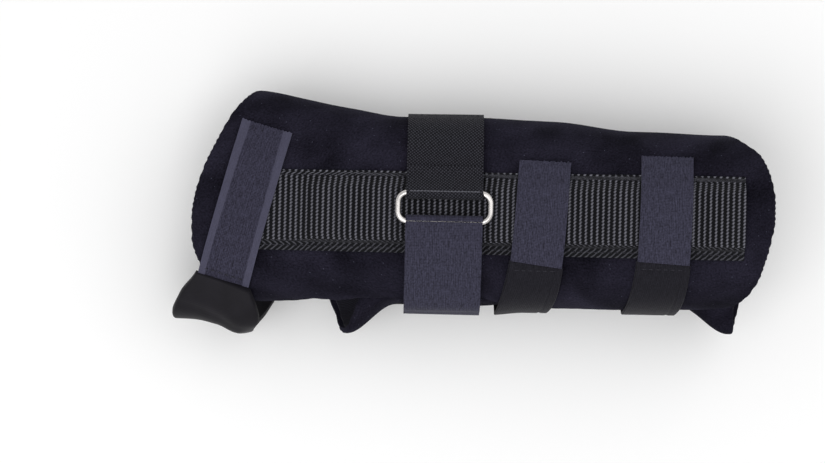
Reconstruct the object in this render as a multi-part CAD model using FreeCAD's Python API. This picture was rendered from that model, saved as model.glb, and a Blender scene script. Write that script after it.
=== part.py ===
import FreeCAD, Part
import math
import os

# Wrist splint for the right hand: a wrap-around foam laminate shell, a dorsal and a palmar stay in
# their pockets, a metal ring on a webbing, and four hook-and-loop straps.
#
# Frame, in mm: +X runs from the fingers to the elbow, +Y to the little-finger side, +Z to the back
# of the hand. The origin is the middle of the flat underside of the palmar stay pocket.
# "Station" is a distance along the splint from the tip of the dorsal panel.
# "Girth" is a distance round a cross-section from the middle of the back of the hand, positive
# towards the little finger (ulnar side) and negative towards the thumb (radial side).
# "Offset" is a height above the skin side of the shell.

Vector = FreeCAD.Vector

# ---- Overall sizes -------------------------------------------------------------------------
splint_length = 260.0
hand_depth = 39.0
elbow_depth = 59.8
hand_ulnar_reach = 51.2
wrist_ulnar_reach = 40.5
forearm_ulnar_reach = 36.0
hand_radial_reach = 38.0
wrist_radial_reach = 37.2
forearm_radial_reach = 35.5
roundness = 0.04

# ---- Stations ------------------------------------------------------------------------------
hand_station = 28.0
wrist_station = 112.6
mid_strap_station = 154.0
upper_strap_station = 210.3
sleeve_start = 24.0
sleeve_end_margin = 14.0
pocket_start = 64.0
pocket_end_margin = 26.0

# ---- Materials' thicknesses ----------------------------------------------------------------
lining_thickness = 0.7
foam_thickness = 3.0
pressed_foam_thickness = 2.0
lapped_foam_thickness = 2.5
webbing_thickness = 1.1
strap_thickness = 1.2
tape_thickness = 1.0
pad_thickness = 3.0

# ---- Clearances ----------------------------------------------------------------------------
layer_gap = 0.1
sleeve_gap = 0.2
lap_gap = 0.45
moving_gap = 0.3
seam_gap = 0.6

# ---- Straps, ring and stays ----------------------------------------------------------------
wide_strap_width = 34.2
narrow_strap_width = 24.0
thumb_tape_width = 23.5
ring_width = 44.0
ring_height = 15.2
ring_wire = 2.6
ring_bend_radius = 4.4
ring_middle = 2.0
sleeve_width = 35.0
stay_width = 16.0
stay_thickness = 1.5
stay_tip_length = 9.0
stay_tip_skin = 0.2
stay_start = 58.0
dorsal_stay_length = 168.0
pocket_width = 40.0
pocket_skin = 0.8
palmar_stay_length = 150.0

# ---- Levels worked out from the sizes above ------------------------------------------------
tip_thickness = stay_thickness + 2 * stay_tip_skin
tip_width = stay_width + 2 * stay_tip_skin
cavity_height = tip_thickness + 2 * moving_gap
pocket_depth = cavity_height + 2 * pocket_skin
shell_bottom = lining_thickness + layer_gap
shell_top = shell_bottom + foam_thickness
pressed_top = shell_bottom + pressed_foam_thickness
lap_bottom = pressed_top + lap_gap
lap_top = lap_bottom + shell_bottom + lapped_foam_thickness
floor_height = pocket_depth + layer_gap + shell_top
origin_station = (pocket_start + splint_length - pocket_end_margin) / 2
lap_start = -18.0
lap_end = -26.5
palmar_tuck = -28.5


# ---- Curves and the body surface -----------------------------------------------------------
def through(*points):
    """A smooth curve through (position, value) points that never overshoots them."""
    places = [point[0] for point in points]
    values = [point[1] for point in points]
    spans = list(zip(places, places[1:], values, values[1:]))
    steps = [(after - before) / (right - left) for left, right, before, after in spans]
    slopes = [steps[0]]
    for left_step, right_step in zip(steps, steps[1:]):
        turns_back = left_step * right_step <= 0
        slopes.append(0.0 if turns_back else 2 * left_step * right_step / (left_step + right_step))
    slopes.append(steps[-1])

    def value(place):
        place = min(max(place, places[0]), places[-1])
        span = max(index for index in range(len(steps)) if places[index] <= place)
        width = places[span + 1] - places[span]
        t = (place - places[span]) / width
        return ((1 + 2 * t) * (1 - t) ** 2 * values[span]
                + t * (1 - t) ** 2 * width * slopes[span]
                + t * t * (3 - 2 * t) * values[span + 1]
                + t * t * (t - 1) * width * slopes[span + 1])
    return value


def ramp(place, start, end):
    """0 at start, 1 at end, with a soft turn at both."""
    t = min(max((place - start) / (end - start), 0.0), 1.0)
    return t * t * (3 - 2 * t)


def between(first, second, share):
    return first + (second - first) * share


ulnar_reach = through(
    (0, hand_ulnar_reach + 1.0), (hand_station, hand_ulnar_reach),
    (48, between(hand_ulnar_reach, wrist_ulnar_reach, 0.3)),
    (70, between(hand_ulnar_reach, wrist_ulnar_reach, 0.66)),
    (wrist_station - 20, wrist_ulnar_reach), (wrist_station + 20, wrist_ulnar_reach + 0.4),
    (wrist_station + 50, between(wrist_ulnar_reach, forearm_ulnar_reach, 0.15)),
    (splint_length - 61, forearm_ulnar_reach), (splint_length, forearm_ulnar_reach - 0.7))
radial_reach = through(
    (0, hand_radial_reach), (hand_station, hand_radial_reach),
    (wrist_station - 20, wrist_radial_reach), (wrist_station + 18, wrist_radial_reach),
    (wrist_station + 38, forearm_radial_reach), (splint_length, forearm_radial_reach - 0.5))


def half_depth(station):
    return between(hand_depth, elbow_depth, station / splint_length) / 2


def section(station, side, turn):
    """A point of the cross-section and its slope, turn being 0 at the back of the hand."""
    reach = ulnar_reach(station) if side > 0 else radial_reach(station)
    depth = half_depth(station)
    wide = 1 + roundness
    y = side * reach * (wide * math.sin(turn) + roundness * math.sin(3 * turn))
    z = depth * (wide * math.cos(turn) - roundness * math.cos(3 * turn))
    slope_y = side * reach * (wide * math.cos(turn) + 3 * roundness * math.cos(3 * turn))
    slope_z = depth * (-wide * math.sin(turn) + 3 * roundness * math.sin(3 * turn))
    return y, floor_height + depth + z, slope_y, slope_z


ARC_STEPS = 36
arc_tables = {}


def arc_table(station, side):
    """Girth from the middle of the back to each step of the first quarter turn."""
    key = (round(station, 4), side)
    if key not in arc_tables:
        step = math.pi / 2 / ARC_STEPS
        speeds = [math.hypot(*section(station, side, step * half / 2)[2:])
                  for half in range(2 * ARC_STEPS + 1)]
        lengths = [0.0]
        for index in range(ARC_STEPS):
            first, middle, last = speeds[2 * index:2 * index + 3]
            lengths.append(lengths[-1] + step * (first + 4 * middle + last) / 6)
        arc_tables[key] = (lengths, speeds[::2])
    return arc_tables[key]


def quarter_girth(station, side):
    return arc_table(station, side)[0][-1]


def turn_at(station, side, girth):
    """The turn that lies at a girth, from 0 at the back to a half turn at the palm."""
    lengths, speeds = arc_table(station, side)
    if girth > lengths[-1]:
        return math.pi - turn_at(station, side, 2 * lengths[-1] - girth)
    index = min(int(girth / lengths[-1] * ARC_STEPS), ARC_STEPS - 1)
    while lengths[index] > girth and index > 0:
        index -= 1
    while lengths[index + 1] < girth and index < ARC_STEPS - 1:
        index += 1
    step = math.pi / 2 / ARC_STEPS
    width = lengths[index + 1] - lengths[index]
    t = (girth - lengths[index]) / width
    return (step * (index + t * t * (3 - 2 * t))
            + t * (1 - t) ** 2 * width / speeds[index]
            + t * t * (t - 1) * width / speeds[index + 1])


def place(station, girth, offset):
    """The point at a station, a girth and an offset outside the skin side."""
    side = 1 if girth >= 0 else -1
    y, z, slope_y, slope_z = section(station, side, turn_at(station, side, abs(girth)))
    length = math.hypot(slope_y, slope_z)
    return Vector(station - origin_station,
                  y - side * slope_z / length * offset,
                  z + side * slope_y / length * offset)


def palm_place(station, across, offset):
    """As place, with the distance round measured from the middle of the palm, + to the thumb."""
    side = -1 if across >= 0 else 1
    return place(station, side * (2 * quarter_girth(station, side) - abs(across)), offset)


def locate(station, point):
    """The girth and offset of a point over the back of the hand."""
    girth = point.y
    for _ in range(14):
        foot = place(station, girth, 0.0)
        outward = place(station, girth, 1.0) - foot
        girth += 0.9 * ((point.y - foot.y) * outward.z - (point.z - foot.z) * outward.y)
    foot = place(station, girth, 0.0)
    outward = place(station, girth, 1.0) - foot
    return girth, (point.y - foot.y) * outward.y + (point.z - foot.z) * outward.z


# ---- Solids --------------------------------------------------------------------------------
def surface_through(rows):
    surface = Part.BSplineSurface()
    surface.interpolate(rows)
    return surface


def side_edges(surface):
    u_start, u_end, v_start, v_end = surface.bounds()
    return [surface.uIso(u_start).toShape(), surface.uIso(u_end).toShape(),
            surface.vIso(v_start).toShape(), surface.vIso(v_end).toShape()]


def thick_sheet(inner_rows, outer_rows):
    """A closed solid between two matching grids of points."""
    inner = surface_through(inner_rows)
    outer = surface_through(outer_rows)
    faces = [inner.toShape(), outer.toShape()]
    for low, high in zip(side_edges(inner), side_edges(outer)):
        faces.append(Part.makeRuledSurface(low, high, 1))
    shell = Part.makeShell(faces)
    shell.sewShape(0.01)
    if shell.ShapeType != "Shell":
        shell = shell.Shells[0]
    solid = Part.makeSolid(shell)
    if solid.Volume < 0:
        solid.reverse()
    return solid


def fractions(count):
    return [index / (count - 1) for index in range(count)]


def draped(spot, inner, outer, lengthwise, crosswise, placing=place):
    """A sheet whose outline is spot(u, v) and whose faces lie at two offsets."""
    faces = []
    for level in (inner, outer):
        rows = []
        for u in fractions(lengthwise):
            spots = [spot(u, v) for v in fractions(crosswise)]
            rows.append([placing(station, girth, level(station, girth)) for station, girth in spots])
        faces.append(rows)
    return thick_sheet(*faces)


def strip(line, start, end, width):
    """The outline of a strap: line gives its station at a girth, width is across it."""
    def spot(u, v):
        girth = between(start, end, u)
        lean = (line(girth + 0.5) - line(girth - 0.5))
        sideways = (v - 0.5) * width / math.hypot(1, lean)
        return line(girth) + sideways, girth - lean * sideways
    return spot


def save(node, shape):
    if not shape.isValid():
        print("check", node, "is not a valid shape")
    shape.exportStep("parts/" + node + ".step")
    print(node, round(shape.Volume), len(shape.Solids))


os.makedirs("parts", exist_ok=True)


# ---- Dorsal panel --------------------------------------------------------------------------
dorsal_tip_edge = through(
    (0, 28.2), (0.05, 24.5), (0.168, 15.8), (0.309, 8.2), (0.4, 3.8), (0.5, 0.5),
    (0.6, -0.9), (0.7, -0.3), (0.758, 1.6), (0.8, 3.8), (0.9, 11.0), (0.96, 19.0), (1, 30.0))
dorsal_elbow_edge = through(
    (0, 21.4), (0.18, 13.5), (0.27, 6.5), (0.39, 2.1), (0.487, 0.3), (0.57, 0.3),
    (0.667, 2.1), (0.796, 5.6), (0.91, 11.7), (1, 18.8))
dorsal_radial_edge = through(
    (30, -46.0), (46, -44.5), (55, -41.0), (64, -38.8), (76, -37.0), (100, -35.8),
    (wrist_station + 14, -35.0), (wrist_station + 28, -40.0), (wrist_station + 40, -46.5),
    (splint_length - 60, -47.5), (splint_length - 39, -46.0), (splint_length - 19, -41.5))


def lap_share(station, girth):
    """How far the dorsal panel has climbed onto the tucked edge of the palmar panel."""
    return ramp(-girth, -lap_start, -lap_end) * ramp(station, 52, 69)


def dorsal_lift(station, girth):
    return lap_bottom * lap_share(station, girth)


def dorsal_foam_top(station, girth):
    return between(shell_top, lap_top, lap_share(station, girth))


def dorsal_outline(margin):
    def spot(u, v):
        start = dorsal_tip_edge(v) + margin
        end = splint_length - dorsal_elbow_edge(v) - margin
        station = between(start, end, u)
        ulnar = quarter_girth(station, 1) - seam_gap / 2 - margin
        radial = dorsal_radial_edge(station) + margin
        return station, between(ulnar, radial, v)
    return spot


dorsal_shell = draped(
    dorsal_outline(0.0),
    lambda station, girth: dorsal_lift(station, girth) + shell_bottom,
    dorsal_foam_top, 60, 58)
save("dorsal_shell", dorsal_shell)
dorsal_lining = draped(
    dorsal_outline(1.5),
    dorsal_lift,
    lambda station, girth: dorsal_lift(station, girth) + lining_thickness, 60, 58)
save("dorsal_lining", dorsal_lining)


# ---- Palmar panel --------------------------------------------------------------------------
palmar_tip_edge = through(
    (0, 29.0), (0.15, 34.0), (0.35, 38.0), (0.52, 39.5), (0.6, 43.0), (0.68, 55.0),
    (0.75, 64.0), (0.82, 68.0), (0.88, 72.5), (0.94, 78.5), (1, 84.0))
palmar_elbow_edge = through(
    (0, 19.0), (0.2, 11.0), (0.42, 8.0), (0.65, 10.0), (0.8, 15.5), (0.88, 16.5), (1, 24.0))


def palmar_outline(margin):
    def spot(u, v):
        start = palmar_tip_edge(v) + margin
        end = splint_length - palmar_elbow_edge(v) - margin
        station = between(start, end, u)
        ulnar = -quarter_girth(station, 1) + seam_gap / 2 + margin
        radial = 2 * quarter_girth(station, -1) + palmar_tuck - margin
        return station, between(ulnar, radial, v)
    return spot


def flare(station, across):
    """The thumb-side front edge and the elbow corner of the palmar panel stand away."""
    side_line = across - quarter_girth(station, -1)
    thumb_flap = 14.0 * ramp(station, 92, 70) * ramp(side_line, -24, -2) * ramp(side_line, 15, 1)
    elbow_flap = (12.5 * ramp(station, splint_length - 41, splint_length - 18)
                  * ramp(side_line, -26, 1) * ramp(side_line, 10, 2))
    return thumb_flap + elbow_flap


def palmar_foam_top(station, across):
    girth = across - 2 * quarter_girth(station, -1)
    covered = ramp(girth, dorsal_radial_edge(station) - 4.5, dorsal_radial_edge(station) - 1.0)
    return between(shell_top, pressed_top, covered if across > 0 else 0.0) + flare(station, across)


palmar_shell = draped(
    palmar_outline(0.0),
    lambda station, across: shell_bottom + flare(station, across),
    palmar_foam_top, 60, 60, palm_place)
save("palmar_shell", palmar_shell)
palmar_lining = draped(
    palmar_outline(1.5), flare,
    lambda station, across: lining_thickness + flare(station, across), 60, 60, palm_place)
save("palmar_lining", palmar_lining)


# ---- Dorsal stay and its sleeve ------------------------------------------------------------
back_start = place(0, 0, 0)
back_line = (place(splint_length, 0, 0) - back_start).normalize()
back_slope = math.degrees(math.atan2(back_line.z, back_line.x))
stay_seat = shell_top + moving_gap + stay_tip_skin
sleeve_end = splint_length - sleeve_end_margin
hump_height = cavity_height + 2 * moving_gap
hump_foot = 15.5
hump_shoulder = 9.6


def sleeve_bottom(station, girth):
    raised = (ramp(abs(girth), hump_foot, hump_shoulder)
              * ramp(station, stay_start - 14, stay_start - 3))
    return shell_top + sleeve_gap + hump_height * raised


def sleeve_top(station, girth):
    return sleeve_bottom(station, girth) + webbing_thickness


def plain_strip(start, end, width):
    def spot(u, v):
        return between(start, end, u), (0.5 - v) * width
    return spot


dorsal_stay_sleeve = draped(
    plain_strip(sleeve_start, sleeve_end, sleeve_width), sleeve_bottom, sleeve_top, 80, 41)
save("dorsal_stay_sleeve", dorsal_stay_sleeve)


def plate(length, width, thickness):
    """A flat bar with round ends, from x 0 to length, its underside at z 0."""
    half = width / 2
    corners = [Vector(half, -half, 0), Vector(length - half, -half, 0),
               Vector(length - half, half, 0), Vector(half, half, 0)]
    edges = [Part.LineSegment(corners[0], corners[1]),
             Part.Arc(corners[1], Vector(length, 0, 0), corners[2]),
             Part.LineSegment(corners[2], corners[3]),
             Part.Arc(corners[3], Vector(0, 0, 0), corners[0])]
    wire = Part.Wire([edge.toShape() for edge in edges])
    return Part.Face(wire).extrude(Vector(0, 0, thickness))


def stay_with_tips(length):
    """A bare metal bar and the two dipped tips that cover its ends."""
    bar = plate(length, stay_width, stay_thickness)
    cover = plate(length + 2 * stay_tip_skin, tip_width, tip_thickness)
    cover.translate(Vector(-stay_tip_skin, 0, -stay_tip_skin))
    middle = Part.makeBox(length - 2 * stay_tip_length, 2 * tip_width, 4 * tip_thickness,
                          Vector(stay_tip_length, -tip_width, -2 * tip_thickness))
    return bar, cover.cut(middle).cut(bar)


def on_back(shape):
    """Lay a bar along the back of the splint on its seat."""
    shape.rotate(Vector(0, 0, 0), Vector(0, 1, 0), -back_slope)
    seat = place(stay_start, 0, stay_seat)
    shape.translate(Vector(stay_start - origin_station, 0, seat.z))
    return shape


dorsal_bar, dorsal_tips = stay_with_tips(dorsal_stay_length)
save("dorsal_stay", on_back(dorsal_bar))
save("dorsal_stay_tips", on_back(dorsal_tips))


# ---- Palmar stay and its flat pocket -------------------------------------------------------
pocket_end = splint_length - pocket_end_margin


def pocket_spot(u, v):
    return between(pocket_start, pocket_end, u), (v - 0.5) * pocket_width


def pocket_block():
    """The pocket before its cavity: flat below, following the palmar panel above."""
    above = []
    below = []
    for u in fractions(12):
        spots = [pocket_spot(u, v) for v in fractions(13)]
        row = [palm_place(station, across, shell_top + layer_gap) for station, across in spots]
        above.append(row)
        below.append([Vector(point.x, point.y, -pocket_skin) for point in row])
    underside = Part.makeBox(2 * splint_length, 2 * pocket_width, pocket_depth,
                             Vector(-splint_length, -pocket_width, -pocket_depth))
    return thick_sheet(above, below).cut(underside)


stay_inset = 10.0
palmar_stay_start = pocket_start + stay_inset - origin_station
cavity_length = pocket_end - origin_station - palmar_stay_start + stay_inset
cavity = Part.makeBox(cavity_length + moving_gap, tip_width + 2 * moving_gap, cavity_height,
                      Vector(palmar_stay_start - 2 * moving_gap, -tip_width / 2 - moving_gap, pocket_skin))
save("palmar_stay_pocket", pocket_block().cut(cavity))
palmar_bar, palmar_tips = stay_with_tips(palmar_stay_length)
palmar_seat = Vector(palmar_stay_start, 0, pocket_skin + moving_gap + stay_tip_skin)
palmar_bar.translate(palmar_seat)
palmar_tips.translate(palmar_seat)
save("palmar_stay", palmar_bar)
save("palmar_stay_tips", palmar_tips)


# ---- Ring, its webbing and the wrist strap -------------------------------------------------
wire_radius = ring_wire / 2
bar_spacing = ring_height - ring_wire
fold_inside = wire_radius + moving_gap
fold_middle = fold_inside + strap_thickness / 2
fold_outside = fold_inside + strap_thickness
ring_level = sleeve_top(wrist_station, 0) + layer_gap + fold_outside
ring_centre = place(wrist_station, 0, ring_level) + Vector(0, ring_middle, 0)
upper_bar = ring_centre + Vector(0, bar_spacing / 2, 0)
lower_bar = ring_centre - Vector(0, bar_spacing / 2, 0)


def ring_shape():
    """A wire bent to a long ring, lying flat, its long bars along x."""
    half_x = (ring_width - ring_wire) / 2
    half_y = bar_spacing / 2
    bend = ring_bend_radius
    pieces = []
    for sign in (1, -1):
        pieces.append(Part.makeCylinder(wire_radius, 2 * (half_x - bend),
                                        Vector(bend - half_x, sign * half_y, 0), Vector(1, 0, 0)))
        pieces.append(Part.makeCylinder(wire_radius, 2 * (half_y - bend),
                                        Vector(sign * half_x, bend - half_y, 0), Vector(0, 1, 0)))
    for quarter in range(4):
        angle = 90 * quarter
        corner = Vector((half_x - bend) * (1 if quarter in (0, 3) else -1),
                        (half_y - bend) * (1 if quarter in (0, 1) else -1), 0)
        torus = Part.makeTorus(bend, wire_radius, corner, Vector(0, 0, 1), -180, 180, 90)
        torus.rotate(corner, Vector(0, 0, 1), angle)
        pieces.append(torus)
    return pieces[0].multiFuse(pieces[1:]).removeSplitter()


ring = ring_shape()
ring.rotate(Vector(0, 0, 0), Vector(0, 1, 0), -back_slope)
ring.translate(ring_centre)
save("ring", ring)


def fold_points(bar, start_angle, end_angle, count):
    """Points half way through a strap that goes round a bar, angles in degrees from +Y."""
    points = []
    for share in fractions(count):
        angle = math.radians(between(start_angle, end_angle, share))
        points.append(bar + Vector(0, fold_middle * math.cos(angle), fold_middle * math.sin(angle)))
    return points


def laid_points(level, girths):
    return [place(wrist_station, girth, level(girth)) for girth in girths]


def ribbon(points, thickness=strap_thickness, spacing=1.1):
    """A wide strap across the wrist whose middle line, seen end on, runs through the points."""
    curve = Part.BSplineCurve()
    curve.interpolate(points)
    count = int(curve.length() / spacing)
    middle = curve.discretize(Number=count)
    rows_by_face = []
    for half in (-thickness / 2, thickness / 2):
        rows = []
        for index, point in enumerate(middle):
            ahead = middle[min(index + 1, count - 1)] - middle[max(index - 1, 0)]
            ahead.normalize()
            shifted = point + Vector(0, -ahead.z, ahead.y) * half
            girth, offset = locate(wrist_station, shifted)
            stations = [wrist_station + (share - 0.5) * wide_strap_width for share in fractions(7)]
            rows.append([place(station, girth, offset) for station in stations])
        rows_by_face.append(rows)
    return thick_sheet(*rows_by_face)


half_strap = strap_thickness / 2
under_bar = ring_level - fold_middle
webbing_level = through(
    (4, under_bar), (9.6, under_bar), (18, shell_top + layer_gap + half_strap + 2.6),
    (26, shell_top + layer_gap + half_strap + 0.15), (80, shell_top + layer_gap + half_strap))
webbing_end = quarter_girth(wrist_station, 1) - 4.0
webbing_return = 19.0
webbing_path = laid_points(webbing_level, [webbing_end - step * (webbing_end - 12) / 16
                                           for step in range(16)])
webbing_path += laid_points(webbing_level, [12, 10])
webbing_path += fold_points(upper_bar, -90, -270, 13)
return_lift = strap_thickness + layer_gap
webbing_path += laid_points(lambda girth: webbing_level(girth) + return_lift
                            + 2 * (fold_middle - return_lift / 2) * ramp(girth, 15, 7.5),
                            [10.5, 13, 15.5, webbing_return])
save("ring_webbing", ribbon(webbing_path))

band_bottom = through(
    (-70, shell_top + moving_gap), (-44, shell_top + moving_gap), (-36, lap_top + moving_gap),
    (-27, lap_top + moving_gap + 0.2), (-9.6, under_bar - half_strap), (0, under_bar - half_strap))


def run_level(girth):
    return band_bottom(girth) + half_strap


wrist_side = -quarter_girth(wrist_station, -1)
run_start = wrist_side - 12.0
run_path = laid_points(run_level, [run_start + step * (-8 - run_start) / 20 for step in range(21)])
run_path += fold_points(lower_bar, -90, 90, 13)
save("wrist_strap_run", ribbon(run_path))


def tail_level(girth):
    hook_room = (tape_thickness + 2 * layer_gap) * ramp(girth, wrist_side + 30, wrist_side + 22)
    return run_level(girth) + strap_thickness + moving_gap + hook_room


tail_start = lower_bar + Vector(0, -moving_gap, fold_middle)
tail_tip = wrist_side - 1.0
tail_lift = tail_start.z - place(wrist_station, lower_bar.y, 0).z
tail_path = [tail_start, tail_start + Vector(0, -3, 0.0)]
tail_path += laid_points(lambda girth: between(tail_level(girth), tail_lift + 0.1, ramp(girth, -27, -7)),
                         [-11, -14, -18, -22, -26, -30, -34])
tail_path += laid_points(tail_level, [between(-36, tail_tip, share) for share in fractions(7)])
save("wrist_strap_tail", ribbon(tail_path))
hook_start = wrist_side + 21.0
hook_path = laid_points(lambda girth: tail_level(girth) - half_strap - layer_gap - tape_thickness / 2,
                        [between(hook_start, tail_tip + 0.5, share) for share in fractions(9)])
save("wrist_hook_patch", ribbon(hook_path, tape_thickness))


def sewn_level(girth):
    return shell_top + layer_gap + half_strap


sewn_start = run_start - seam_gap
sewn_end = wrist_side - 24.0
sewn_path = laid_points(sewn_level, [between(sewn_start, sewn_end, share) for share in fractions(7)])
save("wrist_strap_sewn_end", ribbon(sewn_path))


# ---- Forearm straps ------------------------------------------------------------------------
def above(level, height):
    return lambda station, girth: level(girth) + height


def strap_line(station, slant, tip_shift, seam, tip):
    """The station of a forearm strap's middle line, from the palm round to the tip of its tab."""
    side = -quarter_girth(station, -1)
    return through((side - 30, station - slant), (side, station - slant), (seam, station),
                   (tip, station + tip_shift))


def strap_level(station):
    """The underside of a forearm strap: tight over the lapped edge and the stay sleeve."""
    side = -quarter_girth(station, -1)
    hump_top = sleeve_top(station, 0)
    return through(
        (side - 18, shell_top + moving_gap), (side - 7, shell_top + moving_gap),
        (side, lap_top + moving_gap), (-27, lap_top + moving_gap + 0.2),
        (-10, hump_top + moving_gap), (10, hump_top + moving_gap),
        (17, shell_top + moving_gap + 1.9), (25, shell_top + moving_gap))


def band_root(station):
    return -quarter_girth(station, -1) - 9.0


def forearm_strap(name, station, line, seam, tip):
    """A band sewn to the palmar panel, and the hook tab sewn to its end over the back."""
    level = strap_level(station)
    root = band_root(station)
    sewn = strip(line, root - 16.0, root - seam_gap, narrow_strap_width)
    save(name + "_strap_sewn_end", draped(
        sewn, lambda station, girth: shell_top + layer_gap,
        lambda station, girth: shell_top + layer_gap + strap_thickness, 12, 7))
    band = strip(line, root, seam - seam_gap / 2, narrow_strap_width)
    save(name + "_strap_band", draped(band, above(level, 0), above(level, strap_thickness), 40, 7))
    tab = strip(line, seam + seam_gap / 2, tip, narrow_strap_width - 1.0)
    save(name + "_strap_hook_tab", draped(tab, above(level, 0), above(level, tape_thickness), 40, 7))


mid_seam = -20.2
mid_tip = 22.6
upper_seam = -18.5
upper_tip = 25.4
mid_line = strap_line(mid_strap_station, 5.5, 3.2, mid_seam, mid_tip)
upper_line = strap_line(upper_strap_station, 4.3, 1.2, upper_seam, upper_tip)
forearm_strap("mid", mid_strap_station, mid_line, mid_seam, mid_tip)
forearm_strap("upper", upper_strap_station, upper_line, upper_seam, upper_tip)


# ---- Thumb strap: a soft pad round the web of the thumb, and its hook tab ------------------
thumb_line = through((-31, 14.0), (38, 32.8))
thumb_seam = -30.5
thumb_tip = 36.2
flat_sleeve_top = shell_top + sleeve_gap + webbing_thickness
thumb_tape_bottom = through(
    (-32, shell_top + moving_gap), (-22, flat_sleeve_top + moving_gap),
    (22, flat_sleeve_top + moving_gap), (31, shell_top + moving_gap))
thumb_tab = strip(thumb_line, thumb_seam + seam_gap / 2, thumb_tip, thumb_tape_width)
save("thumb_hook_tab", draped(
    thumb_tab, above(thumb_tape_bottom, 0), above(thumb_tape_bottom, tape_thickness), 40, 9))

web_side = -quarter_girth(hand_station / 2, -1)
web_hinge = web_side - 4.0
web_root = web_side - 34.0
web_finger_edge = through(
    (web_root, 27.0), (web_side - 24, 18.0), (web_side - 12, 3.0), (web_side - 2, -8.0),
    (web_side + 4, -9.3), (-38, -5.5), (-33, 0.0), (-30, 2.4))
web_thumb_edge = through(
    (web_root, 52.0), (web_side - 24, 44.0), (web_side - 12, 33.0), (web_side - 4, 27.6),
    (web_side + 2, 28.0), (-41, 30.4), (-36, 29.2), (-30, 26.0))
web_reach = through((-10, 11.4), (0, 11.7), (11, 14.0), (21, 18.0), (30, 16.0))


def web_bottom(station, girth):
    out = ramp(girth, -31, web_side + 2) * ramp(girth, web_root + 3, web_side - 4)
    return shell_top + moving_gap + (web_reach(station) - pad_thickness - shell_top) * out


def web_top(station, girth):
    return web_bottom(station, girth) + pad_thickness


def web_outline(start, end):
    """Rows follow the slanting seam at the tab and straighten towards the palm."""
    def spot(u, v):
        girth = between(start, end, u)
        lean = -6.9 * (v - 0.5) * ramp(girth, web_side, thumb_seam)
        station = between(web_finger_edge(girth), web_thumb_edge(girth), v)
        return station, girth + lean
    return spot


save("thumb_web_pad", draped(
    web_outline(thumb_seam - seam_gap / 2, web_hinge + seam_gap / 2), web_bottom, web_top, 30, 15))
save("thumb_pad_palm_end", draped(
    web_outline(web_hinge - seam_gap / 2, web_root), web_bottom, web_top, 30, 15))
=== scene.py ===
import math

import bpy
import numpy as np
from mathutils import Matrix, Quaternion, Vector


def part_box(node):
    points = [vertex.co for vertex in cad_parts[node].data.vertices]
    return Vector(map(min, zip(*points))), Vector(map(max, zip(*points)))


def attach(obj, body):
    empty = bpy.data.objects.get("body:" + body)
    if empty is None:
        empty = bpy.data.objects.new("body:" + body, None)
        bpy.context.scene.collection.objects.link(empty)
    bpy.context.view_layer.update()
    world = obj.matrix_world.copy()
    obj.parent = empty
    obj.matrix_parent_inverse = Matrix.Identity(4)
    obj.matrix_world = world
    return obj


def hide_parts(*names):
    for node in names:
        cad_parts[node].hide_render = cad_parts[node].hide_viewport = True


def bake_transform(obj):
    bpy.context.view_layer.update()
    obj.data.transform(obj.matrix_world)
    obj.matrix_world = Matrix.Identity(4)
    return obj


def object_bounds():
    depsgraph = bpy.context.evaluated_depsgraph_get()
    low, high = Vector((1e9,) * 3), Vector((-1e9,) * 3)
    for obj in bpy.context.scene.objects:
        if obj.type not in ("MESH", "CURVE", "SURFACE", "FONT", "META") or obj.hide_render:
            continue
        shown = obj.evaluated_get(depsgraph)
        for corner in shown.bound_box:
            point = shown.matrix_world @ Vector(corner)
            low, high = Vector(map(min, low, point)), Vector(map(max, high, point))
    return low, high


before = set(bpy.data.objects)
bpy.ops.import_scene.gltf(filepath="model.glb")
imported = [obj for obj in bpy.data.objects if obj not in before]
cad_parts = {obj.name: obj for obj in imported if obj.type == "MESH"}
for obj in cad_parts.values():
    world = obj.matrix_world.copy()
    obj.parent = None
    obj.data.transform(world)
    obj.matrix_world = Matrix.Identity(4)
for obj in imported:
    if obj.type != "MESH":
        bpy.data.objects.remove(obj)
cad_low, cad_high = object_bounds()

MM = 0.001


# ---- Shell: brushed loop fabric on foam ----------------------------------------------------
# One cut of foam laminate wraps the forearm. Its fuzzy outside holds hook tape anywhere, its raw
# edge shows the foam, and the dorsal panel laps over the palmar panel on the thumb side.
length = 260.0
hand_depth, elbow_depth = 39.0, 59.8
hand_ulnar, wrist_ulnar, forearm_ulnar = 51.2, 40.5, 36.0
hand_radial, wrist_radial, forearm_radial = 38.0, 37.2, 35.5
roundness = 0.04
wrist = 112.6
floor_height = 8.0
shell_bottom, shell_top = 0.8, 3.8
lap_bottom, lap_top = 3.25, 6.55
elbow_edge_inset = 0.3
origin_station = length - elbow_edge_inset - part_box("dorsal_shell")[1][0] / MM


def through(*points):
    """A smooth curve through (place, value) points that never overshoots them."""
    places, values = np.array(points, float).T
    steps = np.diff(values) / np.diff(places)
    slopes = np.concatenate(([steps[0]], np.zeros(len(steps) - 1), [steps[-1]]))
    for index in range(1, len(steps)):
        before, after = steps[index - 1], steps[index]
        if before * after > 0:
            slopes[index] = 2 * before * after / (before + after)

    def value(place):
        place = np.clip(np.asarray(place, float), places[0], places[-1])
        span = np.clip(np.searchsorted(places, place, side="right") - 1, 0, len(steps) - 1)
        width = places[span + 1] - places[span]
        t = (place - places[span]) / width
        return ((1 + 2 * t) * (1 - t) ** 2 * values[span] + t * (1 - t) ** 2 * width * slopes[span]
                + t * t * (3 - 2 * t) * values[span + 1] + t * t * (t - 1) * width * slopes[span + 1])
    return value


def ramp(place, start, end):
    t = np.clip((np.asarray(place, float) - start) / (end - start), 0, 1)
    return t * t * (3 - 2 * t)


def between(first, second, share):
    return first + (second - first) * share


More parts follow.
